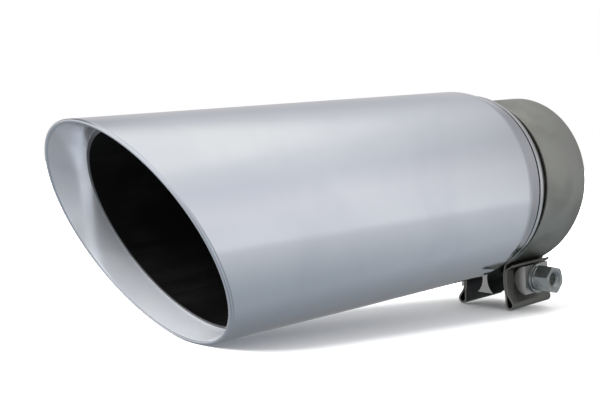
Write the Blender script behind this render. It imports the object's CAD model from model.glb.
"""Slash-cut exhaust tip with its band clamp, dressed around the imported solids.

Sizes are millimetres in the part's own frame: X along the tube, +X out of the
inlet, Z up, the origin at the centre of the inlet's mouth.
"""
import logging
from collections.abc import Callable, Sequence
from dataclasses import dataclass, field, replace
from enum import Enum
from math import acos, atan2, cos, pi, radians, sin, sqrt, tan

import bmesh
import bpy
from mathutils import Matrix, Vector


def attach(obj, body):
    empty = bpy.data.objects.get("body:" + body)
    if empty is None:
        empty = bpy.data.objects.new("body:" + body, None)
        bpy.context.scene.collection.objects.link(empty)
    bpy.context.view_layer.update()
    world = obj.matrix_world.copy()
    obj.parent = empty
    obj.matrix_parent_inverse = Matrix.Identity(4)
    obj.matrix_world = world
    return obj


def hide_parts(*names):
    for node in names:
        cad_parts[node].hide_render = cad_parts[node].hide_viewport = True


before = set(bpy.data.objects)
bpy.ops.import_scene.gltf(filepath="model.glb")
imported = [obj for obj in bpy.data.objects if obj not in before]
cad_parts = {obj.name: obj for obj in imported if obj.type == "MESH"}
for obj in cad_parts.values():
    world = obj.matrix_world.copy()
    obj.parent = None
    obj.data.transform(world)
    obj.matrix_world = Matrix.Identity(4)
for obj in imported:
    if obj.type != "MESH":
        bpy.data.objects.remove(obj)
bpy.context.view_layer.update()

MM = 0.001
BODY = "root"
FULL = 2 * pi
log = logging.getLogger("exhaust_tip")

Color = tuple[float, float, float, float]
Rows = Sequence[Sequence[Vector]]


def spread(start: float, end: float, steps: int) -> list[float]:
    """Evenly spaced numbers from start to end, both included."""
    return [start + (end - start) * i / steps for i in range(steps + 1)]


def turned(v: Vector, angle: float) -> Vector:
    """The plane vector v turned anticlockwise by angle."""
    return Vector((v.x * cos(angle) - v.y * sin(angle), v.x * sin(angle) + v.y * cos(angle)))


def meet(a: Vector, ra: float, b: Vector, rb: float) -> Vector:
    """Finds where two circles meet.

    Args:
        a: Centre of the first circle.
        ra: Its radius.
        b: Centre of the second circle.
        rb: Its radius.

    Returns:
        The meeting point on the right of the way from a to b.
    """
    way = (b - a).normalized()
    gap = (b - a).length
    run = (ra * ra - rb * rb + gap * gap) / (2 * gap)
    return a + run * way + sqrt(ra * ra - run * run) * Vector((way.y, -way.x))


def touch(p: Vector, c: Vector, r: float, side: int) -> Vector:
    """Finds where a tangent touches a circle.

    Args:
        p: Point that the tangent comes from.
        c: Centre of the circle.
        r: Its radius.
        side: 1 or -1, for either of the two tangents.

    Returns:
        The touching point.
    """
    return c + r * turned((p - c).normalized(), side * acos(r / (p - c).length))


def bend(c: Vector, r: float, a: Vector, b: Vector, steps: int) -> list[Vector]:
    """Lays points along a bend, the shorter way round.

    Args:
        c: Centre of the bend.
        r: Its radius.
        a: Direction of its start.
        b: Direction of its end.
        steps: Number of steps.

    Returns:
        The points, both ends included.
    """
    start = atan2(a.y, a.x)
    sweep = (atan2(b.y, b.x) - start + pi) % FULL - pi
    return [c + r * Vector((cos(t), sin(t))) for t in spread(start, start + sweep, steps)]


def skin(name: str, rows: Rows, closed: bool = False, caps: bool = False) -> bpy.types.Object:
    """Builds a mesh through rows of points.

    Args:
        name: Name of the piece.
        rows: Rows of as many points each, in millimetres. Each row is a closed loop.
        closed: Whether the last row joins the first.
        caps: Whether the first and last rows are filled.

    Returns:
        The piece, linked to the scene, its edges sharp where faces turn by more than a set angle.
    """
    mesh_points = bmesh.new()
    grid = [[mesh_points.verts.new(p * MM) for p in row] for row in rows]
    pairs = list(zip(grid, grid[1:] + grid[:1])) if closed else list(zip(grid, grid[1:]))
    for lower, upper in pairs:
        count = len(lower)
        for i in range(count):
            j = (i + 1) % count
            mesh_points.faces.new((lower[i], lower[j], upper[j], upper[i]))
    if caps:
        mesh_points.faces.new(list(reversed(grid[0])))
        mesh_points.faces.new(grid[-1])
    bmesh.ops.recalc_face_normals(mesh_points, faces=mesh_points.faces)
    mesh = bpy.data.meshes.new(name)
    mesh_points.to_mesh(mesh)
    mesh_points.free()
    piece = bpy.data.objects.new(name, mesh)
    bpy.context.scene.collection.objects.link(piece)
    shade(piece)
    return piece


def shade(piece: bpy.types.Object, angle: float = 32.0) -> None:
    """Shades a piece smooth, with sharp edges where faces turn by more than angle degrees."""
    piece.data.shade_smooth()
    piece.data.set_sharp_from_angle(angle=radians(angle))


def carve(piece: bpy.types.Object, cutters: Sequence[bpy.types.Object]) -> None:
    """Cuts pieces out of another and deletes them.

    Args:
        piece: The piece that is cut.
        cutters: The pieces that cut it.
    """
    for cutter in cutters:
        cut = piece.modifiers.new("cut", "BOOLEAN")
        cut.operation = "DIFFERENCE"
        cut.solver = "EXACT"
        cut.object = cutter
    bpy.context.view_layer.update()
    graph = bpy.context.evaluated_depsgraph_get()
    mesh = bpy.data.meshes.new_from_object(piece.evaluated_get(graph))
    piece.modifiers.clear()
    old = piece.data
    piece.data = mesh
    bpy.data.meshes.remove(old)
    for cutter in cutters:
        bpy.data.objects.remove(cutter)
    shade(piece)


def soften(piece: bpy.types.Object, width: float, segments: int = 2, angle: float = 35.0) -> None:
    """Rounds a piece's sharp edges.

    Args:
        piece: The piece.
        width: Width of the rounding in millimetres.
        segments: Number of its segments.
        angle: Smallest turn in degrees that counts as an edge.
    """
    rounding = piece.modifiers.new("soft edges", "BEVEL")
    rounding.width = width * MM
    rounding.segments = segments
    rounding.limit_method = "ANGLE"
    rounding.angle_limit = radians(angle)
    rounding.use_clamp_overlap = True
    rounding.harden_normals = True


@dataclass(frozen=True)
class TubeSizes:
    """Sizes that the sub-assemblies share, and what follows from them."""

    shell_d: float = 127.0
    shell_wall: float = 1.5
    shell_len: float = 270.4
    slash_angle: float = 27.35
    lip_depth: float = 23.5
    lip_inset: float = 5.2
    draw_len: float = 22.0
    draw_angle: float = 14.0
    draw_bend: float = 28.0
    cap_show: float = 6.5
    rim_step: float = 0.3
    collar_space: float = 8.6
    collar_wall: float = 1.9
    collar_len: float = 87.0
    band_w: float = 42.4
    band_wall: float = 1.6
    band_set: float = 0.6
    band_gap: float = 9.3
    band_slack: float = 0.4
    sheet_gap: float = 0.1

    @property
    def shell_r(self) -> float:
        """Outer radius of the shell."""
        return self.shell_d / 2

    @property
    def slope(self) -> float:
        """Shift along the tube for each millimetre up, along the slash."""
        return tan(radians(self.slash_angle))

    @property
    def cap_x(self) -> float:
        """Station of the cap's back."""
        return -(self.band_set + self.band_w + self.band_gap)

    @property
    def mouth_x(self) -> float:
        """Station of the middle of the slash."""
        return self.cap_x - self.shell_len

    @property
    def draw_x(self) -> float:
        """Station where the shell starts to be drawn in."""
        return self.cap_x - self.draw_len

    @property
    def shell_end_x(self) -> float:
        """Station of the shell's rear end."""
        return self.cap_x - self.cap_show

    @property
    def lip_r(self) -> float:
        """Radius of the lip's free end."""
        return self.shell_r - self.lip_inset

    @property
    def collar_r(self) -> float:
        """Outer radius of the collar."""
        return self.shell_r - self.shell_wall - self.collar_space

    @property
    def neck_r(self) -> float:
        """Radius at which necks slide over the collar."""
        return self.collar_r + self.sheet_gap

    @property
    def band_in(self) -> float:
        """Inner radius of the band's ring."""
        return self.collar_r + self.band_slack

    @property
    def band_x(self) -> float:
        """Station of the band's middle."""
        return -(self.band_set + self.band_w / 2)

    def drawn_line(self, depth: float, steps: int) -> list[tuple[float, float]]:
        """Follows the drawn-in rear end of the shell.

        Args:
            depth: Depth under the shell's outside.
            steps: Number of steps along its bend.

        Returns:
            Radius and station of each point, from the front backwards.
        """
        angle = radians(self.draw_angle)
        centre_r = self.shell_r - self.draw_bend
        r = self.draw_bend - depth
        line = [(centre_r + r * cos(t), self.draw_x + r * sin(t)) for t in spread(0, angle, steps)]
        last_r, last_x = line[-1]
        return line + [(last_r - (self.shell_end_x - last_x) * tan(angle), self.shell_end_x)]


@dataclass(frozen=True)
class Station:
    """One ring of a turned piece: its radius, place along the tube, share of the slash and finish."""

    r: float
    x: float
    slant: float = 0.0
    finish: int = 0


def turn(name: str, stations: Sequence[Station], slope: float = 0.0, segments: int = 320) -> bpy.types.Object:
    """Turns a closed section about the tube's axis.

    Args:
        name: Name of the piece.
        stations: The section's points in order.
        slope: Shift along the tube for each millimetre up, for a share of 1.
        segments: Number of steps round the axis.

    Returns:
        The piece.
    """
    angles = [FULL * i / segments for i in range(segments)]
    rows = [[Vector((s.x - s.slant * slope * s.r * sin(t), s.r * cos(t), s.r * sin(t))) for t in angles]
            for s in stations]
    piece = skin(name, rows, closed=True)
    for face in piece.data.polygons:
        face.material_index = stations[face.index // segments].finish
    return piece


def rounded(corner: tuple[float, float], r: float, start: float, steps: int = 3) -> list[Station]:
    """Rounds one corner of a section, a quarter turn at a time.

    Args:
        corner: Radius and station of the rounding's centre.
        r: Radius of the rounding.
        start: Angle in degrees of its start, from outwards towards the inlet.
        steps: Number of steps.

    Returns:
        The rings of the rounding, in falling angle.
    """
    return [Station(corner[0] + r * cos(radians(a)), corner[1] + r * sin(radians(a)))
            for a in spread(start, start - 90, steps)]


class NodeKind(Enum):
    """The shader nodes that the finishes are made of."""

    COORDS = "ShaderNodeTexCoord"
    NOISE = "ShaderNodeTexNoise"
    SCALE = "ShaderNodeVectorMath"
    MATH = "ShaderNodeMath"
    RANGE = "ShaderNodeMapRange"
    MIX = "ShaderNodeMix"
    BUMP = "ShaderNodeBump"
    GEOMETRY = "ShaderNodeNewGeometry"
    SPLIT = "ShaderNodeSeparateXYZ"
    RAMP = "ShaderNodeValToRGB"
    GROUP = "ShaderNodeGroup"


@dataclass
class Nodes:
    """A node tree, with short calls to add nodes and links to it."""

    tree: bpy.types.NodeTree

    def add(self, kind: NodeKind, **values: object) -> bpy.types.Node:
        """Adds a node.

        Args:
            kind: Kind of the node.
            **values: Settings of the node, by attribute name.

        Returns:
            The node.
        """
        node = self.tree.nodes.new(kind.value)
        for key, value in values.items():
            setattr(node, key, value)
        return node

    def join(self, out: bpy.types.NodeSocket, into: bpy.types.NodeSocket) -> None:
        """Links one socket to another."""
        self.tree.links.new(out, into)

    def math(self, operation: str, a: object, b: object = 0.0, clamp: bool = False) -> bpy.types.NodeSocket:
        """Adds a sum of two values.

        Args:
            operation: Name of the sum.
            a: First value, a number or a socket.
            b: Second value, a number or a socket.
            clamp: Whether the result stays between 0 and 1.

        Returns:
            The result's socket.
        """
        node = self.add(NodeKind.MATH, operation=operation, use_clamp=clamp)
        for socket, value in zip(node.inputs, (a, b)):
            if isinstance(value, bpy.types.NodeSocket):
                self.join(value, socket)
            else:
                socket.default_value = value
        return node.outputs[0]

    def range(self, value: bpy.types.NodeSocket, low: float, high: float,
              to_low: float = 0.0, to_high: float = 1.0, smooth: bool = False) -> bpy.types.NodeSocket:
        """Maps a value from one range to another, held at its ends.

        Args:
            value: The value's socket.
            low: Value that gives to_low.
            high: Value that gives to_high.
            to_low: Result at low.
            to_high: Result at high.
            smooth: Whether the change eases in and out.

        Returns:
            The result's socket.
        """
        node = self.add(NodeKind.RANGE, interpolation_type="SMOOTHSTEP" if smooth else "LINEAR")
        for name, number in zip(("From Min", "From Max", "To Min", "To Max"), (low, high, to_low, to_high)):
            node.inputs[name].default_value = number
        self.join(value, node.inputs["Value"])
        return node.outputs["Result"]

    def mix(self, share: bpy.types.NodeSocket, a: object, b: object) -> bpy.types.NodeSocket:
        """Mixes two colours.

        Args:
            share: Socket of the second colour's share.
            a: First colour, four numbers or a socket.
            b: Second colour, four numbers or a socket.

        Returns:
            The mixed colour's socket.
        """
        node = self.add(NodeKind.MIX, data_type="RGBA")
        self.join(share, node.inputs[0])
        for socket, value in ((node.inputs[6], a), (node.inputs[7], b)):
            if isinstance(value, bpy.types.NodeSocket):
                self.join(value, socket)
            else:
                socket.default_value = value
        return node.outputs[2]


def new_group(name: str, inputs: dict[str, tuple[str, object]], outputs: dict[str, str]) -> tuple[Nodes, bpy.types.Node,
                                                                                              bpy.types.Node]:
    """Starts a shader node group.

    Args:
        name: Name of the group.
        inputs: Socket type and default of each named input.
        outputs: Socket type of each named output.

    Returns:
        The group's nodes, its input node and its output node.
    """
    tree = bpy.data.node_groups.new(name, "ShaderNodeTree")
    for label, (kind, default) in inputs.items():
        socket = tree.interface.new_socket(label, in_out="INPUT", socket_type=kind)
        if default is not None:
            socket.default_value = default
    for label, kind in outputs.items():
        tree.interface.new_socket(label, in_out="OUTPUT", socket_type=kind)
    return Nodes(tree), tree.nodes.new("NodeGroupInput"), tree.nodes.new("NodeGroupOutput")


FLOAT, VECTOR = "NodeSocketFloat", "NodeSocketVector"


def drawn_grain() -> bpy.types.NodeTree:
    """Builds the group for the fine lines that rolling and polishing leave.

    Returns:
        The group. Stretch scales the place along each axis, so that lines run where it is small.
    """
    nodes, given, result = new_group(
        "Drawn grain",
        {"Place": (VECTOR, None), "Stretch": (VECTOR, (1.0, 1.0, 1.0)), "Roughness": (FLOAT, 0.6)},
        {"Lines": FLOAT})
    scaled = nodes.add(NodeKind.SCALE, operation="MULTIPLY")
    nodes.join(given.outputs["Place"], scaled.inputs[0])
    nodes.join(given.outputs["Stretch"], scaled.inputs[1])
    noise = nodes.add(NodeKind.NOISE)
    noise.inputs["Scale"].default_value = 1.0
    noise.inputs["Detail"].default_value = 5.0
    nodes.join(given.outputs["Roughness"], noise.inputs["Roughness"])
    nodes.join(scaled.outputs[0], noise.inputs["Vector"])
    nodes.join(nodes.range(noise.outputs[0], 0.3, 0.7), result.inputs["Lines"])
    return nodes.tree


def handling() -> bpy.types.NodeTree:
    """Builds the group for soft patches of handling and dust.

    Returns:
        The group. Amount sets how much of the surface the patches cover.
    """
    nodes, given, result = new_group(
        "Handling patches",
        {"Place": (VECTOR, None), "Scale": (FLOAT, 30.0), "Amount": (FLOAT, 0.5)},
        {"Patches": FLOAT})
    broad = nodes.add(NodeKind.NOISE)
    broad.inputs["Detail"].default_value = 4.0
    broad.inputs["Distortion"].default_value = 0.6
    nodes.join(given.outputs["Place"], broad.inputs["Vector"])
    nodes.join(given.outputs["Scale"], broad.inputs["Scale"])
    lifted = nodes.math("ADD", broad.outputs[0], nodes.math("MULTIPLY", given.outputs["Amount"], 0.5))
    nodes.join(nodes.range(lifted, 0.62, 0.9, smooth=True), result.inputs["Patches"])
    return nodes.tree


def worn_edges() -> bpy.types.NodeTree:
    """Builds the group that finds the edges where plating and scale wear off.

    Returns:
        The group. Edges is 1 on ridges and Hollows is 1 in creases, both broken up by noise.
    """
    nodes, given, result = new_group(
        "Worn edges",
        {"Place": (VECTOR, None), "Scale": (FLOAT, 400.0), "Reach": (FLOAT, 0.08)},
        {"Edges": FLOAT, "Hollows": FLOAT})
    shape = nodes.add(NodeKind.GEOMETRY)
    noise = nodes.add(NodeKind.NOISE)
    noise.inputs["Detail"].default_value = 3.0
    nodes.join(given.outputs["Place"], noise.inputs["Vector"])
    nodes.join(given.outputs["Scale"], noise.inputs["Scale"])
    broken = nodes.range(noise.outputs[0], 0.3, 0.7, 0.6, 1.2)
    ridge = nodes.math("DIVIDE", nodes.math("SUBTRACT", shape.outputs["Pointiness"], 0.51),
                       given.outputs["Reach"], clamp=True)
    crease = nodes.math("DIVIDE", nodes.math("SUBTRACT", 0.49, shape.outputs["Pointiness"]),
                        given.outputs["Reach"], clamp=True)
    nodes.join(nodes.math("MULTIPLY", ridge, broken, clamp=True), result.inputs["Edges"])
    nodes.join(nodes.math("MULTIPLY", crease, broken, clamp=True), result.inputs["Hollows"])
    return nodes.tree


def grown_film() -> bpy.types.NodeTree:
    """Builds the group for a film of soot, heat tint or oil that grows towards one side.

    Returns:
        The group. Along is the direction in which it grows, Start and End the distances that way in metres.
    """
    nodes, given, result = new_group(
        "Grown film",
        {"Place": (VECTOR, None), "Along": (VECTOR, (1.0, 0.0, 0.0)), "Start": (FLOAT, 0.0), "End": (FLOAT, 1.0)},
        {"Film": FLOAT})
    reach = nodes.add(NodeKind.SCALE, operation="DOT_PRODUCT")
    nodes.join(given.outputs["Place"], reach.inputs[0])
    nodes.join(given.outputs["Along"], reach.inputs[1])
    level = reach.outputs["Value"]
    noise = nodes.add(NodeKind.NOISE)
    noise.inputs["Scale"].default_value = 60.0
    noise.inputs["Detail"].default_value = 5.0
    nodes.join(given.outputs["Place"], noise.inputs["Vector"])
    uneven = nodes.math("ADD", level, nodes.math("MULTIPLY", nodes.math("SUBTRACT", noise.outputs[0], 0.5), 0.004))
    film = nodes.add(NodeKind.RANGE, interpolation_type="SMOOTHSTEP")
    nodes.join(uneven, film.inputs["Value"])
    nodes.join(given.outputs["Start"], film.inputs["From Min"])
    nodes.join(given.outputs["End"], film.inputs["From Max"])
    nodes.join(film.outputs["Result"], result.inputs["Film"])
    return nodes.tree


class Grain(Enum):
    """Direction of a finish's fine lines, as the stretch of the place along each axis, per metre."""

    AROUND = (9000.0, 60.0, 60.0)
    ALONG = (40.0, 5200.0, 5200.0)
    EVEN = (1400.0, 1400.0, 1400.0)


@dataclass(frozen=True)
class Steel:
    """A metal finish: its colours, gloss, fine lines, handling and wear."""

    name: str
    slot: str
    color: Color
    dull_color: Color
    gloss: float
    dull_gloss: float
    grain: Grain
    grain_depth: float
    patch_scale: float = 30.0
    patch_amount: float = 0.5
    edge_color: Color | None = None
    hollow_color: Color | None = None
    anisotropy: float = 0.0
    metallic: float = 1.0
    film_color: Color | None = None
    film_along: tuple[float, float, float] = (1.0, 0.0, 0.0)
    film_from: float = 0.0
    film_to: float = 0.0

    def material(self, groups: "Groups") -> bpy.types.Material:
        """Builds the finish's material.

        Args:
            groups: The shared node groups.

        Returns:
            The material.
        """
        material = bpy.data.materials.new(self.name)
        material.use_nodes = True
        nodes = Nodes(material.node_tree)
        shader = material.node_tree.nodes["Principled BSDF"]
        shader.inputs["Metallic"].default_value = self.metallic
        shader.inputs["Anisotropic"].default_value = self.anisotropy
        place = nodes.add(NodeKind.COORDS).outputs["Object"]
        grain = nodes.add(NodeKind.GROUP, node_tree=groups.grain)
        grain.inputs["Stretch"].default_value = self.grain.value
        nodes.join(place, grain.inputs["Place"])
        patches = nodes.add(NodeKind.GROUP, node_tree=groups.patches)
        patches.inputs["Scale"].default_value = self.patch_scale
        patches.inputs["Amount"].default_value = self.patch_amount
        nodes.join(place, patches.inputs["Place"])
        color = nodes.mix(patches.outputs["Patches"], self.color, self.dull_color)
        if self.edge_color or self.hollow_color:
            wear = nodes.add(NodeKind.GROUP, node_tree=groups.wear)
            nodes.join(place, wear.inputs["Place"])
            if self.hollow_color:
                color = nodes.mix(wear.outputs["Hollows"], color, self.hollow_color)
            if self.edge_color:
                color = nodes.mix(wear.outputs["Edges"], color, self.edge_color)
        if self.film_color:
            film = nodes.add(NodeKind.GROUP, node_tree=groups.film)
            for label, value in (("Along", self.film_along), ("Start", self.film_from * MM), ("End", self.film_to * MM)):
                film.inputs[label].default_value = value
            nodes.join(place, film.inputs["Place"])
            color = nodes.mix(film.outputs["Film"], color, self.film_color)
        nodes.join(color, shader.inputs["Base Color"])
        dull = nodes.math("ADD", nodes.math("MULTIPLY", patches.outputs["Patches"], 0.8),
                          nodes.math("MULTIPLY", grain.outputs["Lines"], 0.2))
        nodes.join(nodes.range(dull, 0.0, 1.0, self.gloss, self.dull_gloss), shader.inputs["Roughness"])
        bump = nodes.add(NodeKind.BUMP)
        bump.inputs["Strength"].default_value = 1.0
        bump.inputs["Distance"].default_value = self.grain_depth * MM
        nodes.join(grain.outputs["Lines"], bump.inputs["Height"])
        nodes.join(bump.outputs["Normal"], shader.inputs["Normal"])
        return material


@dataclass(frozen=True)
class Groups:
    """The shader node groups that the finishes share."""

    grain: bpy.types.NodeTree = field(default_factory=drawn_grain)
    patches: bpy.types.NodeTree = field(default_factory=handling)
    wear: bpy.types.NodeTree = field(default_factory=worn_edges)
    film: bpy.types.NodeTree = field(default_factory=grown_film)


POLISHED = Steel("Polished steel", "polished_steel", (0.78, 0.81, 0.86, 1), (0.74, 0.77, 0.83, 1),
                 0.085, 0.15, Grain.AROUND, 0.0004, patch_scale=14.0)
LIP = Steel("Satin polished lip", "polished_steel", (0.80, 0.82, 0.86, 1), (0.74, 0.77, 0.82, 1),
            0.12, 0.22, Grain.AROUND, 0.00015, patch_scale=14.0, metallic=0.72)
PRESSED = Steel("Pressed steel", "pressed_steel", (0.60, 0.62, 0.64, 1), (0.52, 0.53, 0.54, 1),
                0.16, 0.3, Grain.AROUND, 0.001, film_color=(0.16, 0.15, 0.14, 1), film_from=-54.0, film_to=-52.3)
BARE = replace(PRESSED, name="Heat-dulled sleeve edge", color=(0.20, 0.20, 0.20, 1),
               dull_color=(0.14, 0.14, 0.14, 1), gloss=0.30, dull_gloss=0.45, film_color=None)
TUBE = Steel("Mill tube steel", "tube_steel", (0.50, 0.50, 0.47, 1), (0.40, 0.40, 0.37, 1),
             0.34, 0.5, Grain.ALONG, 0.004, film_color=(0.13, 0.13, 0.125, 1), film_from=-41.0, film_to=-45.0)
BAND = Steel("Satin strip steel", "band_steel", (0.385, 0.395, 0.365, 1), (0.34, 0.345, 0.315, 1),
             0.44, 0.56, Grain.AROUND, 0.004, film_color=(0.165, 0.165, 0.15, 1), film_along=(0.0, 0.0, -1.0),
             film_from=46.0, film_to=61.0)
BLOCK = Steel("Drawn bar steel", "block_steel", (0.37, 0.37, 0.365, 1), (0.29, 0.29, 0.285, 1),
              0.34, 0.5, Grain.AROUND, 0.006, edge_color=(0.42, 0.42, 0.41, 1))
BLOCK_END = replace(BLOCK, name="Sawn bar end", color=(0.30, 0.30, 0.295, 1), dull_color=(0.24, 0.24, 0.235, 1))
SHADED = replace(BAND, name="Strip scale between the ears", color=(0.05, 0.05, 0.05, 1),
                 dull_color=(0.03, 0.03, 0.03, 1), film_color=None)
SCALE = Steel("Dark bar scale", "block_steel", (0.11, 0.112, 0.11, 1), (0.07, 0.07, 0.07, 1),
              0.42, 0.6, Grain.AROUND, 0.01)
ZINC = Steel("Bright zinc plate", "zinc", (0.37, 0.39, 0.39, 1), (0.29, 0.31, 0.305, 1),
             0.22, 0.42, Grain.EVEN, 0.006, patch_scale=160.0, edge_color=(0.42, 0.45, 0.44, 1),
             hollow_color=(0.12, 0.13, 0.13, 1))
CUT_END = Steel("Cut bolt end", "zinc", (0.20, 0.21, 0.20, 1), (0.09, 0.10, 0.09, 1),
                0.45, 0.7, Grain.EVEN, 0.05, patch_scale=500.0, patch_amount=0.7)
WELD = Steel("Weld metal", "weld", (0.42, 0.41, 0.39, 1), (0.26, 0.23, 0.20, 1),
             0.3, 0.55, Grain.EVEN, 0.02, patch_scale=220.0, hollow_color=(0.12, 0.11, 0.10, 1))


@dataclass(frozen=True)
class Soot:
    """The baked soot inside the sleeve: near black, with paler streaks where the gas scrubs it."""

    name: str = "Sooted steel"
    slot: str = "sooted_steel"
    color: Color = (0.002, 0.002, 0.0022, 1)
    scrubbed: Color = (0.0055, 0.0054, 0.0052, 1)
    roughness: float = 0.7

    def material(self, groups: Groups) -> bpy.types.Material:
        """Builds the soot's material.

        Args:
            groups: The shared node groups.

        Returns:
            The material.
        """
        material = bpy.data.materials.new(self.name)
        material.use_nodes = True
        nodes = Nodes(material.node_tree)
        shader = material.node_tree.nodes["Principled BSDF"]
        shader.inputs["Specular IOR Level"].default_value = 0.12
        place = nodes.add(NodeKind.COORDS).outputs["Object"]
        streaks = nodes.add(NodeKind.GROUP, node_tree=groups.grain)
        streaks.inputs["Stretch"].default_value = (12.0, 160.0, 160.0)
        nodes.join(place, streaks.inputs["Place"])
        patches = nodes.add(NodeKind.GROUP, node_tree=groups.patches)
        nodes.join(place, patches.inputs["Place"])
        shown = nodes.math("MULTIPLY", streaks.outputs["Lines"], patches.outputs["Patches"])
        nodes.join(nodes.mix(shown, self.color, self.scrubbed), shader.inputs["Base Color"])
        rough = nodes.range(streaks.outputs["Lines"], 0.0, 1.0, self.roughness, self.roughness + 0.2)
        nodes.join(rough, shader.inputs["Roughness"])
        bump = nodes.add(NodeKind.BUMP)
        bump.inputs["Strength"].default_value = 1.0
        bump.inputs["Distance"].default_value = 0.05 * MM
        nodes.join(streaks.outputs["Lines"], bump.inputs["Height"])
        nodes.join(bump.outputs["Normal"], shader.inputs["Normal"])
        return material


class Workshop:
    """Keeps the materials, and dresses and places the pieces."""

    def __init__(self) -> None:
        """Builds the shared node groups."""
        self.groups = Groups()
        self.materials: dict[str, bpy.types.Material] = {}

    def finish(self, piece: bpy.types.Object, node: str, *finishes: Steel | Soot) -> bpy.types.Object:
        """Gives a piece its materials and body, and lets it stand for a solid.

        Args:
            piece: The piece.
            node: Name of the solid that it replaces.
            *finishes: Its finishes, in the order of its faces' indices. The first names its slot.

        Returns:
            The piece.
        """
        for finish in finishes:
            if finish.name not in self.materials:
                self.materials[finish.name] = finish.material(self.groups)
            piece.data.materials.append(self.materials[finish.name])
        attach(piece, BODY)
        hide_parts(node)
        log.info("%s: %d faces, %s", piece.name, len(piece.data.polygons), finishes[0].name)
        return piece


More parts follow.
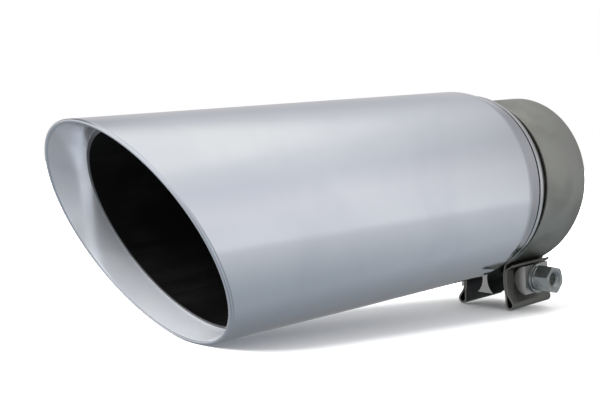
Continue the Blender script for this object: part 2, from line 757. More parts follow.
@dataclass
class Tail:
    """The polished shell with its rolled lip, the sleeve inside it and the cap behind it."""

    tube: TubeSizes
    bead_w: float = 2.2
    bead_back: float = 0.35
    crease_w: float = 0.9
    crease_depth: float = 0.45
    lip_dish: float = 0.55
    pocket: float = 8.0
    sleeve_wall: float = 1.5
    sleeve_lap: float = 2.0
    taper_len: float = 38.0
    neck_step: float = 3.0
    neck_clear: float = 9.7
    cap_wall: float = 1.5
    cap_corner: float = 2.5
    end_round: float = 0.2
    seam_w: float = 1.6
    seam_depth: float = 1.4
    cap_skirt: float = 14.0
    cap_bend: float = 2.4
    cap_neck: float = 9.0
    wall_steps: int = 10
    roll_steps: int = 16
    lip_steps: int = 14
    bend_steps: int = 10

    def wall(self, r: float, from_x: float, to_x: float, from_slant: float, to_slant: float) -> list[Station]:
        """Lays rings along a straight wall whose slash comes or goes.

        Args:
            r: Radius of the wall.
            from_x: Station of its start.
            to_x: Station of its end.
            from_slant: Share of the slash at its start.
            to_slant: Share of the slash at its end.

        Returns:
            The rings, both ends included.
        """
        return [Station(r, from_x + (to_x - from_x) * f, from_slant + (to_slant - from_slant) * f)
                for f in spread(0, 1, self.wall_steps)]

    def shell_section(self) -> list[Station]:
        """Follows the shell's section from its rear end, round the roll and lip and back inside.

        Returns:
            The rings of the section.
        """
        t = self.tube
        bead_r = self.bead_w / 2
        bead_x = t.mouth_x + self.bead_back + bead_r
        crease_x = bead_x + bead_r * 0.3
        end_r, rear_x = t.drawn_line(0, self.bend_steps)[-1]
        rear = [Station(end_r - self.end_round * (1 - cos(a)), rear_x - self.end_round * (1 - sin(a)))
                for a in spread(pi / 2, 0, 4)]
        outside = rear + [Station(r, x) for r, x in reversed(t.drawn_line(0, self.bend_steps)[:-1])]
        straight = self.wall(t.shell_r, t.draw_x, crease_x + self.crease_w, 0, 1)[1:]
        crease = [Station(t.shell_r - self.crease_depth, crease_x + self.crease_w * 0.4, 1),
                  Station(t.shell_r - self.crease_depth, crease_x + self.crease_w * 0.3, 1)]
        bead = [Station(t.shell_r - bead_r + bead_r * cos(a), bead_x - bead_r * sin(a), 1)
                for a in spread(-0.15, pi * 0.92, self.roll_steps)]
        end_x = t.mouth_x + t.lip_depth
        half = t.shell_wall / 2
        start = bead.pop()
        lip_run = [Station(start.r + (t.lip_r - start.r) * f - 4 * self.lip_dish * f * (1 - f),
                           start.x + (end_x - half - start.x) * f, 1, 1) for f in spread(0, 1, self.lip_steps)]
        lip_end = [Station(t.lip_r + half - half * cos(a), end_x - half + half * sin(a), 1, 1)
                   for a in spread(0, pi, 8)][1:]
        inside_r = t.shell_r - t.shell_wall
        back = [Station(inside_r - 0.4, t.mouth_x + self.pocket + 1, 1)]
        inside = self.wall(inside_r, t.mouth_x + self.pocket, t.draw_x, 1, 0)
        drawn = [Station(r, x) for r, x in t.drawn_line(t.shell_wall, self.bend_steps)[1:]]
        return outside + straight + crease + bead + lip_run + lip_end + back + inside + drawn

    def sleeve_section(self) -> list[Station]:
        """Follows the sleeve's section, out along its outside and back inside.

        Returns:
            The rings of the section.
        """
        t = self.tube
        wide_r = t.lip_r - t.sheet_gap
        tip_x = t.mouth_x + t.lip_depth - self.sleeve_lap
        neck_x = -(t.collar_len + self.neck_step)
        wide_x = neck_x - self.taper_len
        front_x = t.cap_x - self.cap_neck - self.neck_clear
        outer = self.wall(wide_r, tip_x + 0.3, wide_x, 1, 0)
        outer += [Station(t.neck_r + self.sleeve_wall, neck_x), Station(t.neck_r + self.sleeve_wall, front_x)]
        inner = [Station(t.neck_r, front_x), Station(t.neck_r, neck_x)]
        inside = self.wall(wide_r - self.sleeve_wall, wide_x, tip_x + 0.6, 0, 1)
        bare = [Station(wide_r - self.sleeve_wall, tip_x + 0.35, 1, 1),
                Station(wide_r - self.sleeve_wall + 0.35, tip_x, 1, 1), Station(wide_r - 0.3, tip_x, 1, 1)]
        return outer + inner + inside + bare

    def cap_section(self) -> list[Station]:
        """Follows the cap's section from its skirt over the rim and face to its neck and back.

        Returns:
            The rings of the section.
        """
        t = self.tube
        skirt_r = t.drawn_line(t.shell_wall, self.bend_steps)[-1][0] - t.sheet_gap
        rim_r = t.drawn_line(0, self.bend_steps)[-1][0] - t.rim_step
        corner_r = rim_r - self.cap_corner
        corner_x = t.cap_x - self.cap_corner
        edge = self.end_round
        seam_x = t.shell_end_x + t.sheet_gap
        seam_end = seam_x + self.seam_w
        skirt = [Station(skirt_r - self.cap_wall, t.shell_end_x - self.cap_skirt),
                 Station(skirt_r, t.shell_end_x - self.cap_skirt), Station(skirt_r, seam_x, finish=1),
                 Station(rim_r - self.seam_depth, seam_x, finish=1),
                 Station(rim_r - self.seam_depth, seam_end, finish=1)]
        rim = rounded((rim_r - edge, seam_end + edge), edge, 0)
        rim.reverse()
        corner = [Station(corner_r + self.cap_corner * cos(a), corner_x + self.cap_corner * sin(a))
                  for a in spread(0, pi / 2, 12)]
        bend_r = t.neck_r + self.cap_bend
        bend_x = t.cap_x - self.cap_bend
        face_bend = [Station(bend_r + self.cap_bend * cos(a), bend_x + self.cap_bend * sin(a))
                     for a in spread(pi / 2, pi, self.bend_steps)]
        neck = [Station(t.neck_r, t.cap_x - self.cap_neck), Station(t.neck_r + self.cap_wall, t.cap_x - self.cap_neck)]
        thin = self.cap_bend - self.cap_wall
        back_bend = [Station(bend_r + thin * cos(a), bend_x + thin * sin(a))
                     for a in spread(pi, pi / 2, self.bend_steps)]
        inside = [Station(skirt_r - self.cap_wall, t.cap_x - self.cap_wall)]
        return skirt + rim + corner + face_bend + neck + back_bend + inside

    def build(self) -> dict[str, bpy.types.Object]:
        """Builds the shell, the sleeve and the cap, by the name of the solid that each replaces."""
        slope = self.tube.slope
        return {"outer_shell": turn("polished_shell", self.shell_section(), slope),
                "inner_sleeve": turn("gas_sleeve", self.sleeve_section(), slope),
                "rear_cap": turn("pressed_cap", self.cap_section())}

    def dress(self, pieces: dict[str, bpy.types.Object], shop: Workshop) -> None:
        """Gives the pieces their finishes."""
        shop.finish(pieces["outer_shell"], "outer_shell", POLISHED, LIP)
        shop.finish(pieces["inner_sleeve"], "inner_sleeve", Soot(), BARE)
        shop.finish(pieces["rear_cap"], "rear_cap", PRESSED, SCALE)


@dataclass
class Inlet:
    """The slotted collar that slides over the tailpipe, and the bead that welds the cap to it."""

    tube: TubeSizes
    slot_count: int = 4
    slot_w: float = 4.0
    slot_len: float = 38.0
    edge: float = 0.35
    weld_r: float = 2.5
    weld_sink: float = 0.15
    ripple: float = 0.09
    ripples: int = 120
    slot_steps: int = 10

    def collar(self) -> bpy.types.Object:
        """Builds the collar with its slots.

        Returns:
            The collar.
        """
        t = self.tube
        bore_r = t.collar_r - t.collar_wall
        section = [Station(bore_r, -t.collar_len), Station(t.collar_r, -t.collar_len)]
        section += [Station(t.collar_r, -t.collar_len * f) for f in (0.75, 0.5, 0.25)]
        section += rounded((t.collar_r - self.edge, -self.edge), self.edge, 0)[:1]
        section += list(reversed([Station(s.r, s.x) for s in rounded((t.collar_r - self.edge, -self.edge),
                                                                     self.edge, 90)]))[1:]
        section += list(reversed([Station(s.r, s.x) for s in rounded((bore_r + self.edge, -self.edge),
                                                                     self.edge, 180)]))
        piece = turn("slotted_collar", section, segments=240)
        carve(piece, [self.slot_cutter(FULL * (i + 0.5) / self.slot_count) for i in range(self.slot_count)])
        return piece

    def slot_cutter(self, angle: float) -> bpy.types.Object:
        """Builds the bar that cuts one slot.

        Args:
            angle: Angle of the slot about the tube.

        Returns:
            The bar, round at its inner end.
        """
        t = self.tube
        half = self.slot_w / 2
        outline = [Vector((t.collar_wall, -half)), Vector((t.collar_wall, half))]
        outline += [Vector((half - self.slot_len - half * sin(a), half * cos(a)))
                    for a in spread(0, pi, self.slot_steps)]
        out = Vector((0, cos(angle), sin(angle)))
        side = Vector((0, -sin(angle), cos(angle)))
        rows = [[Vector((p.x, 0, 0)) + side * p.y + out * r for p in outline]
                for r in (t.collar_r - 2 * t.collar_wall, t.collar_r + t.collar_wall)]
        return skin("slot_cutter", rows, caps=True)

    def bead(self) -> bpy.types.Object:
        """Builds the weld bead, rippled as its pool froze.

        Returns:
            The bead.
        """
        t = self.tube
        centre_x = t.cap_x - self.weld_r * 0.3
        floor_r = t.collar_r - self.weld_sink
        segments = self.ripples * 6
        rows = []
        for i in range(segments):
            around = FULL * i / segments
            wave = abs(sin(around * self.ripples / 2))
            row = []
            for a in spread(0, pi, 12):
                lean = 0.35 * cos(a)
                size = self.weld_r - self.ripple * (1 - wave) * (1 + lean)
                r = max(t.collar_r + size * sin(a), floor_r)
                row.append(Vector((centre_x + size * cos(a), r * cos(around), r * sin(around))))
            ends = (row[-1].x, row[0].x)
            row += [Vector((x, floor_r * cos(around), floor_r * sin(around))) for x in ends]
            rows.append(row)
        return skin("weld_ring", rows, closed=True)

    def build(self) -> dict[str, bpy.types.Object]:
        """Builds the collar and the bead, by the name of the solid that each replaces."""
        return {"inlet_collar": self.collar(), "weld_bead": self.bead()}

    def dress(self, pieces: dict[str, bpy.types.Object], shop: Workshop) -> None:
        """Gives the pieces their finishes."""
        shop.finish(pieces["inlet_collar"], "inlet_collar", TUBE)
        shop.finish(pieces["weld_bead"], "weld_bead", WELD)


@dataclass
class Clamp:
    """The slack band with its folded ears, and the block, saddles and bolt that draw them together."""

    tube: TubeSizes
    clamp_turn: float = 3.0
    slack_from: float = 70.0
    slack_ease: float = 15.1
    bolt_drop: float = 12.8
    ear_out: float = 16.0
    ear_r: float = 43.0
    ear_part: float = 9.8
    loop_r: float = 3.6
    loop_drop: float = 16.6
    loop_out: float = 5.0
    root_bend: float = 2.4
    flare_rise: float = 6.6
    flare_turn: float = 50.0
    flare_bend: float = 2.0
    flare_len: float = 4.2
    ear_hole_d: float = 12.0
    saddle_r: float = 9.9
    saddle_t: float = 9.4
    saddle_len: float = 25.5
    block_len: float = 42.0
    block_waist: float = 2.0
    block_up: float = 11.6
    block_down: float = 10.1
    bolt_d: float = 10.0
    bolt_gap: float = 0.3
    flats: float = 17.0
    head_h: float = 6.4
    nut_h: float = 11.5
    nut_collar_h: float = 1.5
    bolt_recess: float = 2.5
    washer_d: float = 20.5
    washer_t: float = 2.0
    nut_turn: float = 44.0
    head_turn: float = 22.0
    chamfer: float = 0.9
    hole_chamfer: float = 0.9
    thread_pitch: float = 1.5
    thread_depth: float = 0.8
    thread_gap: float = 0.05
    layer_gap: float = 0.03
    strip_edge: float = 0.45
    ring_steps: int = 120
    steps: int = 20

    @property
    def band_r(self) -> float:
        """Outer radius of the band's ring."""
        return self.tube.band_in + self.tube.band_wall

    @property
    def bolt_z(self) -> float:
        """Height of the bolt's axis before the clamp is turned."""
        return -(self.band_r + self.bolt_drop)

    @property
    def saddle_round_y(self) -> float:
        """Distance from the clamp's middle to the round side of a saddle."""
        return self.ear_out + 2 * self.tube.band_wall + self.tube.sheet_gap

    @property
    def saddle_flat_y(self) -> float:
        """Distance from the clamp's middle to the flat of a saddle."""
        return self.saddle_round_y + self.saddle_t

    @property
    def nut_y(self) -> float:
        """Distance from the clamp's middle to the nut."""
        return self.saddle_flat_y + self.washer_t

    @property
    def nut_face_y(self) -> float:
        """Distance from the clamp's middle to the nut's outer face."""
        return self.nut_y + self.nut_collar_h + self.nut_h

    @property
    def corner_r(self) -> float:
        """Radius over the corners of the nut and the head."""
        return self.flats / sqrt(3)

    def across(self, p: Vector, x: float) -> Vector:
        """Places a point of an outline seen along the tube.

        Args:
            p: The point, Y to the right and Z up, before the clamp is turned.
            x: Distance from the band's middle along the tube.

        Returns:
            The point in the part's frame.
        """
        q = turned(p, radians(self.clamp_turn))
        return Vector((self.tube.band_x + x, q.x, q.y))

    def on_bolt(self, r: float, angle: float, out: float) -> Vector:
        """Places a point given about the bolt's axis.

        Args:
            r: Distance from the axis.
            angle: Angle about it, from +X towards +Z.
            out: Distance from the clamp's middle towards the nut.

        Returns:
            The point in the part's frame.
        """
        return self.across(Vector((-out, self.bolt_z + r * sin(angle))), r * cos(angle))

    def below(self, drop: float) -> Vector:
        """Direction from an ear's centre to the level that lies drop below the bolt."""
        level = drop / (self.ear_r - self.tube.band_wall)
        return Vector((-sqrt(1 - level * level), -level))

    def strip_path(self) -> list[Vector]:
        """Follows the middle of the strip from the top of the ring to the end of one ear.

        Returns:
            The points of the path.
        """
        wall = self.tube.band_wall
        half = wall / 2
        origin = Vector((0, 0))
        up = Vector((0, 1))
        down = Vector((0, -1))
        slack_dir = Vector((sin(radians(self.slack_from)), -cos(radians(self.slack_from))))
        slack_c = -self.slack_ease * slack_dir
        slack_r = self.band_r + self.slack_ease
        ear_c = Vector((self.ear_out + self.ear_r, self.bolt_z))
        root_c = meet(slack_c, slack_r + self.root_bend, ear_c, self.ear_r - self.root_bend - wall)
        root_dir = (root_c - ear_c).normalized()
        part_dir = self.below(self.ear_part)
        flare_dir = self.below(-self.flare_rise)
        flare_end = turned(flare_dir, -radians(self.flare_turn))
        inner_r = self.ear_r - half
        outer_r = self.ear_r - wall - half
        flare_c = ear_c + (self.ear_r - 2 * wall - self.flare_bend) * flare_dir
        loop_c = Vector((self.ear_out + self.loop_out, self.bolt_z - self.loop_drop))
        loop_r = self.loop_r - half
        foot_in = touch(ear_c + inner_r * part_dir, loop_c, loop_r, 1)
        foot_out = touch(ear_c + outer_r * part_dir, loop_c, loop_r, -1)
        path = bend(origin, self.band_r - half, up, slack_dir, self.ring_steps)
        path += bend(slack_c, slack_r - half, slack_dir, root_c - slack_c, self.steps)[1:]
        path += bend(root_c, self.root_bend + half, slack_c - root_c, root_dir, self.steps)[1:]
        path += bend(ear_c, inner_r, root_dir, part_dir, self.steps)[1:]
        path += bend(loop_c, loop_r, foot_in - loop_c, down, self.steps)
        path += bend(loop_c, loop_r, down, foot_out - loop_c, self.steps)[1:]
        path += bend(ear_c, outer_r, part_dir, flare_dir, self.steps)
        path += bend(flare_c, self.flare_bend + half, flare_dir, flare_end, self.steps)[1:]
        return path + [path[-1] + self.flare_len * turned(flare_end, -pi / 2)]

    def strip_section(self) -> list[tuple[float, float]]:
        """Follows the strip's section, its edges rounded by the rolls.

        Returns:
            Offsets across the strip and through its thickness.
        """
        half_w = self.tube.band_w / 2
        half_t = self.tube.band_wall / 2 - self.layer_gap
        r = self.strip_edge
        corners = ((1, 1, 0), (-1, 1, pi / 2), (-1, -1, pi), (1, -1, 3 * pi / 2))
        return [(sx * (half_w - r) + r * cos(start + a), st * (half_t - r) + r * sin(start + a))
                for sx, st, start in corners for a in spread(0, pi / 2, 4)]

    def band(self) -> bpy.types.Object:
        """Builds the band, one strip bent from end to end.

        Returns:
            The band.
        """
        right = self.strip_path()
        path = [Vector((-p.x, p.y)) for p in reversed(right)] + right[1:]
        section = self.strip_section()
        rows = []
        for i, p in enumerate(path):
            before = path[max(i - 1, 0)]
            after = path[min(i + 1, len(path) - 1)]
            way = (after - before).normalized()
            out = Vector((-way.y, way.x))
            rows.append([self.across(p + out * t, w) for w, t in section])
        piece = skin("clamp_strip", rows, caps=True)
        carve(piece, [self.bolt_cutter(self.ear_hole_d / 2)])
        ear_z = -(self.band_r + self.root_bend)
        for face in piece.data.polygons:
            lies = turned(Vector((face.center.y, face.center.z)) / MM, -radians(self.clamp_turn))
            faces = turned(Vector((face.normal.y, face.normal.z)), -radians(self.clamp_turn))
            inward = -faces.x if lies.x > 0 else faces.x
            face.material_index = int(lies.y < ear_z and inward > 0.82)
        return piece

    def bolt_cutter(self, r: float) -> bpy.types.Object:
        """Builds a rod along the bolt's axis that cuts its holes.

        Args:
            r: Radius of the rod.

        Returns:
            The rod.
        """
        angles = [FULL * (i + 0.5) / 48 for i in range(48)]
        ends = (-self.nut_face_y, self.nut_face_y)
        return skin("bolt_cutter", [[self.on_bolt(r, a, out) for a in angles] for out in ends], caps=True)

    def prism(self, name: str, outline: Sequence[Vector], length: float, edge: float) -> bpy.types.Object:
        """Builds a bar of a given outline with the bolt's hole through it and soft edges.

        Args:
            name: Name of the piece.
            outline: The outline seen along the tube.
            length: Length along the tube.
            edge: Width of the rounding of its edges.

        Returns:
            The bar.
        """
        piece = skin(name, [[self.across(p, x) for p in outline] for x in (-length / 2, length / 2)], caps=True)
        carve(piece, [self.bolt_cutter(self.bolt_d / 2 + self.bolt_gap)])
        soften(piece, edge)
        return piece

    def block(self) -> bpy.types.Object:
        """Builds the block between the ears, hollowed on both sides.

        Returns:
            The block.
        """
        side_r = self.saddle_r + 2 * self.tube.band_wall
        middle = self.block_waist + side_r
        right = []
        for level in (self.block_up, -self.block_down):
            right.append(Vector((middle - sqrt(side_r * side_r - level * level), level)))
        centre = Vector((middle, 0))
        hollow = bend(centre, side_r, right[0] - centre, right[1] - centre, self.steps)
        outline = hollow + [Vector((-p.x, p.y)) for p in reversed(hollow)]
        piece = self.prism("ear_block", [p + Vector((0, self.bolt_z)) for p in outline], self.block_len, 0.35)
        for face in piece.data.polygons:
            face.material_index = 0 if abs(face.normal.x) > 0.9 else 1
        return piece

    def saddle(self, name: str, side: int) -> bpy.types.Object:
        """Builds one half-round saddle.

        Args:
            name: Name of the piece.
            side: 1 for the nut's side, -1 for the head's.

        Returns:
            The saddle.
        """
        centre = Vector((-(self.saddle_round_y + self.saddle_r), 0))
        flat = -self.saddle_flat_y - centre.x
        rise = sqrt(self.saddle_r * self.saddle_r - flat * flat)
        curve = bend(centre, self.saddle_r, Vector((flat, rise)), Vector((1, 0)), self.steps)
        curve += bend(centre, self.saddle_r, Vector((1, 0)), Vector((flat, -rise)), self.steps)[1:]
        outline = [Vector((p.x * side, p.y + self.bolt_z)) for p in curve]
        return self.prism(name, outline, self.saddle_len, 0.5)

    def hex_r(self, angle: float, turn_by: float) -> float:
        """Distance from a hexagon's middle to its side at an angle, its corners turned by turn_by degrees."""
        return self.flats / 2 / cos((angle - radians(turn_by)) % (pi / 3) - pi / 6)

    def thread_r(self, angle: float, out: float) -> float:
        """Radius of the bolt's thread at an angle and a distance from the clamp's middle."""
        phase = (out / self.thread_pitch - angle / FULL) % 1.0
        return self.bolt_d / 2 - self.thread_depth * abs(2 * phase - 1)

    def hex_rows(self, angles: Sequence[float], turn_by: float, low: float, high: float,
                 both: bool) -> list[list[Vector]]:
        """Lays rows over the side of a hexagon with chamfered corners.

        Args:
            angles: Angles of the columns.
            turn_by: Turn of its corners in degrees.
            low: Distance of its start from the clamp's middle.
            high: Distance of its end.
            both: Whether both ends are chamfered, or only the far one.

        Returns:
            Rows from low to high.
        """
        face_r = self.corner_r - self.chamfer
        way = 1 if high > low else -1
        cut = [max(self.hex_r(a, turn_by) - face_r, 0.0) / sqrt(3) + 0.02 for a in angles]
        rim = [min(self.hex_r(a, turn_by) - 0.03, face_r) for a in angles]
        rows = []
        if both:
            rows.append([self.on_bolt(r, a, low) for r, a in zip(rim, angles)])
        foot = cut if both else [0.0] * len(angles)
        rows.append([self.on_bolt(self.hex_r(a, turn_by), a, low + way * c) for a, c in zip(angles, foot)])
        rows.append([self.on_bolt(self.hex_r(a, turn_by), a, high - way * c) for a, c in zip(angles, cut)])
        rows.append([self.on_bolt(r, a, high) for r, a in zip(rim, angles)])
        return rows

    def nut(self) -> bpy.types.Object:
        """Builds the nut with its round collar and threaded hole.

        Returns:
            The nut.
        """
        count = 144
        angles = [radians(self.nut_turn) + FULL * i / count for i in range(count)]
        seat_r = (self.flats + self.chamfer) / 2
        top = self.nut_y + self.nut_collar_h
        gap = self.thread_gap
        mouth_r = self.bolt_d / 2 + gap + self.hole_chamfer
        edge = 0.3

        def ring(r: float, out: float) -> list[Vector]:
            """A round row of the nut."""
            return [self.on_bolt(r, a, out) for a in angles]

        rows = [ring(mouth_r - self.hole_chamfer, self.nut_y), ring(seat_r - edge, self.nut_y),
                ring(seat_r, self.nut_y + edge), ring(seat_r, top - edge), ring(seat_r - edge, top)]
        rows += self.hex_rows(angles, self.nut_turn, top, self.nut_face_y, True)
        rows += [ring(mouth_r + edge, self.nut_face_y), ring(mouth_r, self.nut_face_y - edge / 2)]
        turns = int((self.nut_face_y - self.hole_chamfer - self.nut_y) / self.thread_pitch * 10)
        for out in spread(self.nut_face_y - self.hole_chamfer, self.nut_y + edge, turns):
            rows.append([self.on_bolt(self.thread_r(a, out) + gap, a, out) for a in angles])
        return skin("flange_nut", rows, closed=True)

    def bolt(self) -> bpy.types.Object:
        """Builds the bolt: its head, its shank and its threaded end inside the nut.

        Returns:
            The bolt.
        """
        count = 144
        angles = [-radians(self.head_turn) + FULL * i / count for i in range(count)]
        end = self.nut_face_y - self.bolt_recess
        thread_from = self.saddle_flat_y - self.thread_pitch * 2
        lead = 1.0

        def ring(r: float, out: float) -> list[Vector]:
            """A round row of the bolt."""
            return [self.on_bolt(r, a, out) for a in angles]

        face = -self.saddle_flat_y - self.head_h
        head = self.hex_rows(angles, -self.head_turn, -self.saddle_flat_y, face, False)
        rows = [ring(self.corner_r - self.chamfer - 2.0, face)] + list(reversed(head))
        rows += [ring(self.bolt_d / 2 + 0.4, -self.saddle_flat_y), ring(self.bolt_d / 2, -self.saddle_flat_y + 0.4),
                 ring(self.bolt_d / 2, thread_from)]
        turns = int((end - lead - thread_from) / self.thread_pitch * 10)
        for out in spread(thread_from, end - lead, turns)[1:]:
            rows.append([self.on_bolt(self.thread_r(a, out), a, out) for a in angles])
        rows.append([self.on_bolt(min(self.thread_r(a, end), self.bolt_d / 2 - lead), a, end) for a in angles])
        piece = skin("hex_bolt", rows, caps=True)
        piece.data.polygons[-1].material_index = 1
        return piece

    def washer(self) -> bpy.types.Object:
        """Builds the washer, its edges rounded by the press.

        Returns:
            The washer.
        """
        angles = [FULL * i / 96 for i in range(96)]
        outer = self.washer_d / 2
        inner = self.bolt_d / 2 + self.bolt_gap
        edge = 0.35
        low, high = self.saddle_flat_y, self.nut_y
        places = ((inner, low), (outer - edge, low), (outer - edge * 0.3, low + edge * 0.3), (outer, low + edge),
                  (outer, high - edge), (outer - edge * 0.3, high - edge * 0.3), (outer - edge, high), (inner, high))
        return skin("flat_washer", [[self.on_bolt(r, a, out) for a in angles] for r, out in places], closed=True)

    def build(self) -> dict[str, bpy.types.Object]:
        """Builds the clamp's pieces, by the name of the solid that each replaces."""
        return {"clamp_band": self.band(), "spacer_block": self.block(),
                "head_saddle": self.saddle("saddle_head_side", -1), "nut_saddle": self.saddle("saddle_nut_side", 1),
                "clamp_bolt": self.bolt(), "nut_washer": self.washer(), "clamp_nut": self.nut()}

    def dress(self, pieces: dict[str, bpy.types.Object], shop: Workshop) -> None:
        """Gives the pieces their finishes."""
        finishes = {"clamp_band": (BAND, SHADED), "spacer_block": (BLOCK_END, SCALE), "head_saddle": (BLOCK,),
                    "nut_saddle": (BLOCK,), "clamp_bolt": (ZINC, CUT_END), "nut_washer": (ZINC,), "clamp_nut": (ZINC,)}
        for node, chosen in finishes.items():
            shop.finish(pieces[node], node, *chosen)


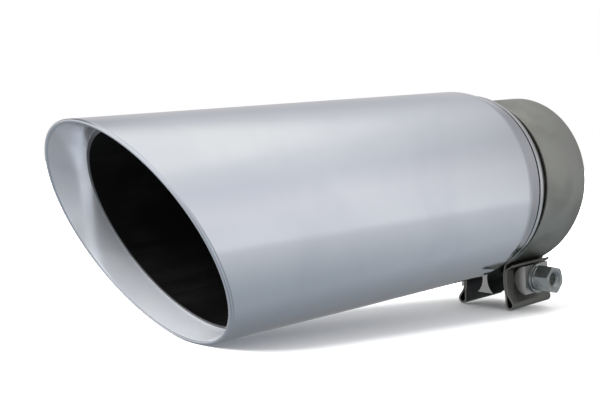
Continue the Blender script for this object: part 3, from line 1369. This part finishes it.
@dataclass
class Studio:
    """The pale floor that the tip rests on, the soft light and the camera."""

    tube: TubeSizes
    clamp: Clamp
    floor_reach: float = 9000.0
    floor_gap: float = 0.3
    eye: tuple[float, float, float] = (-595.3, -458.2, 47.6)
    right: tuple[float, float, float] = (0.7566, -0.6474, -0.0922)
    up: tuple[float, float, float] = (0.1209, 0.0, 0.9927)
    lens: float = 61.2
    sensor: float = 36.0
    light_from: tuple[float, float, float] = (-0.78, -0.05, 0.62)
    light_strength: float = 11.0
    light_angle: float = 28.0
    dark_patches: tuple[tuple[float, float, float, float, float], ...] = (
        (96.0, 42.0, 38.0, 18.0, 0.25), (-4.0, 6.0, 42.0, 16.0, 0.50), (-94.0, -4.0, 36.0, 10.0, 0.42))

    def floor(self) -> bpy.types.Object:
        """Builds the floor through the foot of each ear and the lowest point of the lip.

        Returns:
            The floor.
        """
        c = self.clamp
        x = -c.tube.band_w / 2
        foot_z = c.bolt_z - c.loop_drop - c.loop_r
        feet = [c.across(Vector((s * (c.ear_out + c.loop_out), foot_z)), x) for s in (-1, 1)]
        lip = Vector((self.tube.mouth_x + self.tube.slope * self.tube.shell_r, 0, -self.tube.shell_r))
        normal = (feet[1] - feet[0]).cross(lip - feet[0]).normalized()
        normal *= -1 if normal.z < 0 else 1
        ahead = normal.cross(Vector((0, 1, 0))).normalized()
        side = normal.cross(ahead)
        middle = feet[0] - normal * self.floor_gap
        reach = self.floor_reach
        rows = [[middle + ahead * a * reach + side * b * reach for b in spread(-1, 1, 12)]
                for a in spread(-1, 1, 12)]
        sheet = bmesh.new()
        grid = [[sheet.verts.new(p * MM) for p in row] for row in rows]
        for lower, upper in zip(grid, grid[1:]):
            for i in range(len(lower) - 1):
                sheet.faces.new((lower[i], lower[i + 1], upper[i + 1], upper[i]))
        bmesh.ops.recalc_face_normals(sheet, faces=sheet.faces)
        mesh = bpy.data.meshes.new("studio_floor")
        sheet.to_mesh(mesh)
        sheet.free()
        if mesh.polygons[0].normal.z < 0:
            mesh.flip_normals()
        floor = bpy.data.objects.new("studio_floor", mesh)
        bpy.context.scene.collection.objects.link(floor)
        floor.visible_glossy = False
        floor.visible_diffuse = False
        floor.data.materials.append(self.floor_material())
        return floor

    def floor_material(self) -> bpy.types.Material:
        """Builds the floor's matt white paper.

        Returns:
            The material.
        """
        material = bpy.data.materials.new("White paper")
        material.use_nodes = True
        nodes = Nodes(material.node_tree)
        shader = material.node_tree.nodes["Principled BSDF"]
        shader.inputs["Roughness"].default_value = 0.9
        shader.inputs["Specular IOR Level"].default_value = 0.1
        noise = nodes.add(NodeKind.NOISE)
        noise.inputs["Scale"].default_value = 3.0
        nodes.join(nodes.add(NodeKind.COORDS).outputs["Object"], noise.inputs["Vector"])
        color = nodes.mix(noise.outputs[0], (0.90, 0.90, 0.90, 1), (0.88, 0.88, 0.885, 1))
        nodes.join(color, shader.inputs["Base Color"])
        return material

    def surround(self) -> None:
        """Builds the studio's walls as the metal sees them: a bright ceiling, pale walls and a grey ground."""
        world = bpy.data.worlds.new("Studio surround")
        bpy.context.scene.world = world
        world.use_nodes = True
        nodes = Nodes(world.node_tree)
        background = world.node_tree.nodes["Background"]
        way = nodes.add(NodeKind.COORDS).outputs["Generated"]
        split = nodes.add(NodeKind.SPLIT)
        nodes.join(way, split.inputs[0])
        ramp = nodes.add(NodeKind.RAMP)
        nodes.join(nodes.range(split.outputs["Z"], -1.0, 1.0), ramp.inputs[0])
        stops = ((0.0, (0.25, 0.27, 0.30, 1)), (0.14, (0.38, 0.41, 0.44, 1)), (0.27, (0.54, 0.56, 0.58, 1)),
                 (0.335, (0.61, 0.62, 0.65, 1)), (0.38, (0.78, 0.78, 0.80, 1)), (0.60, (0.83, 0.82, 0.84, 1)),
                 (0.75, (0.74, 0.74, 0.77, 1)), (0.84, (0.80, 0.80, 0.81, 1)), (0.89, (0.95, 0.94, 0.91, 1)),
                 (1.0, (0.95, 0.95, 0.93, 1)))
        while len(ramp.color_ramp.elements) < len(stops):
            ramp.color_ramp.elements.new(0.5)
        for element, (place, color) in zip(ramp.color_ramp.elements, stops):
            element.position = place
            element.color = color
        away = nodes.add(NodeKind.SCALE, operation="DOT_PRODUCT")
        nodes.join(way, away.inputs[0])
        away.inputs[1].default_value = (cos(radians(55)), sin(radians(55)), 0.0)
        high = nodes.range(away.outputs["Value"], 0.4, 1.0, 1.0, 0.72, smooth=True)
        low = nodes.range(away.outputs["Value"], 0.3, 0.85, 1.0, 0.42)
        rise = nodes.range(split.outputs["Z"], -0.35, 0.15, smooth=True)
        shade_by = nodes.math("ADD", nodes.math("MULTIPLY", high, rise),
                              nodes.math("MULTIPLY", low, nodes.math("SUBTRACT", 1.0, rise)))
        for azimuth, elevation, edge, core, shade_to in self.dark_patches:
            patch = nodes.add(NodeKind.SCALE, operation="DOT_PRODUCT")
            nodes.join(way, patch.inputs[0])
            level = cos(radians(elevation))
            patch.inputs[1].default_value = (level * cos(radians(azimuth)), level * sin(radians(azimuth)),
                                             sin(radians(elevation)))
            dimmed = nodes.range(patch.outputs["Value"], cos(radians(edge)), cos(radians(core)), 1.0, shade_to,
                                 smooth=True)
            shade_by = nodes.math("MULTIPLY", shade_by, dimmed)
        scaled = nodes.add(NodeKind.SCALE, operation="SCALE")
        nodes.join(ramp.outputs[0], scaled.inputs[0])
        nodes.join(shade_by, scaled.inputs["Scale"])
        seen = world.node_tree.nodes.new("ShaderNodeLightPath")
        lit = nodes.mix(seen.outputs["Is Diffuse Ray"], scaled.outputs[0], (1.5, 1.5, 1.5, 1))
        shown = nodes.mix(seen.outputs["Is Camera Ray"], lit, (1.0, 1.0, 1.0, 1))
        nodes.join(shown, background.inputs["Color"])

    def light(self) -> bpy.types.Object:
        """Builds the broad light from the front that whitens the floor and fills the lip.

        Returns:
            The light.
        """
        lamp = bpy.data.lights.new("front_panel", "SUN")
        lamp.energy = self.light_strength
        lamp.angle = radians(self.light_angle)
        light = bpy.data.objects.new("front_panel", lamp)
        light.rotation_euler = Vector(self.light_from).to_track_quat("Z", "Y").to_euler()
        light.visible_glossy = False
        bpy.context.scene.collection.objects.link(light)
        return light

    def camera(self) -> bpy.types.Object:
        """Builds the camera at the photograph's viewing angle.

        Returns:
            The camera.
        """
        data = bpy.data.cameras.new("photo_view")
        data.sensor_fit = "HORIZONTAL"
        data.sensor_width = self.sensor
        data.lens = self.lens
        data.clip_start = 0.01
        data.clip_end = 100.0
        right, up = Vector(self.right).normalized(), Vector(self.up).normalized()
        back = right.cross(up)
        camera = bpy.data.objects.new("photo_view", data)
        turn_to = Matrix((right, up, back)).transposed().to_4x4()
        camera.matrix_world = Matrix.Translation(Vector(self.eye) * MM) @ turn_to
        bpy.context.scene.collection.objects.link(camera)
        bpy.context.scene.camera = camera
        return camera

    def build(self) -> None:
        """Sets up the camera, the light, the surround and the floor."""
        self.camera()
        self.light()
        self.surround()
        self.floor()
        settings = bpy.context.scene.view_settings
        settings.view_transform = "Standard"
        settings.look = "None"
        log.info("studio set up")


def main() -> None:
    """Builds the tip's sub-assemblies in order, then the studio."""
    logging.basicConfig(level=logging.INFO, format="%(name)s: %(message)s")
    shop = Workshop()
    tube = TubeSizes()
    clamp = Clamp(tube)
    for part in (Tail(tube), Inlet(tube), clamp):
        part.dress(part.build(), shop)
    Studio(tube, clamp).build()


if __name__ == "__main__":
    main()
